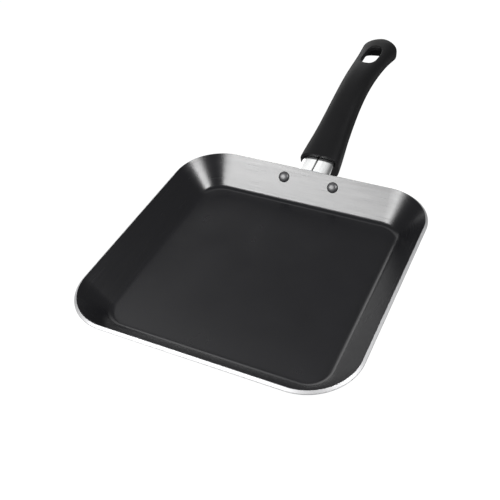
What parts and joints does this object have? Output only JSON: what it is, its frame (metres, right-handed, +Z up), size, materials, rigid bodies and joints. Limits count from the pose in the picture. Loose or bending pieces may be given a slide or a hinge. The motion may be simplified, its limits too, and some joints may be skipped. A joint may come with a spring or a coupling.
{
  "type": "square crepe pan",
  "caption": "Shallow square frying pan with flared walls, rounded corners, a dark non-stick inside and a riveted handle with an arched black grip, hollow under its tail, and a hanging hole.",
  "frame": {"origin": "centre of the base's flat underside", "axes": "+Z up out of the pan, +Y from the pan towards the grip, +X to the right seen from the front"},
  "size_m": [0.2394, 0.4471, 0.061],
  "materials": {
    "pan_aluminium": "polished sheet, plain cut rim",
    "nonstick_black": "semi-gloss non-stick coating",
    "rivet_aluminium": "domed heads inside coated with the lining, bright closing heads outside",
    "bracket_steel": "polished folded sheet",
    "grip_phenolic": "satin moulded phenolic",
    "fastener_steel": "zinc plated"
  },
  "bodies": {
    "root": {"pan_body": "pan_aluminium", "nonstick_lining": "nonstick_black", "rivet_left": "rivet_aluminium", "rivet_right": "rivet_aluminium", "handle_bracket": "bracket_steel", "handle_grip": "grip_phenolic", "grip_screw": "fastener_steel", "screw_washer": "fastener_steel", "square_nut": "fastener_steel"}
  },
  "joints": []
}
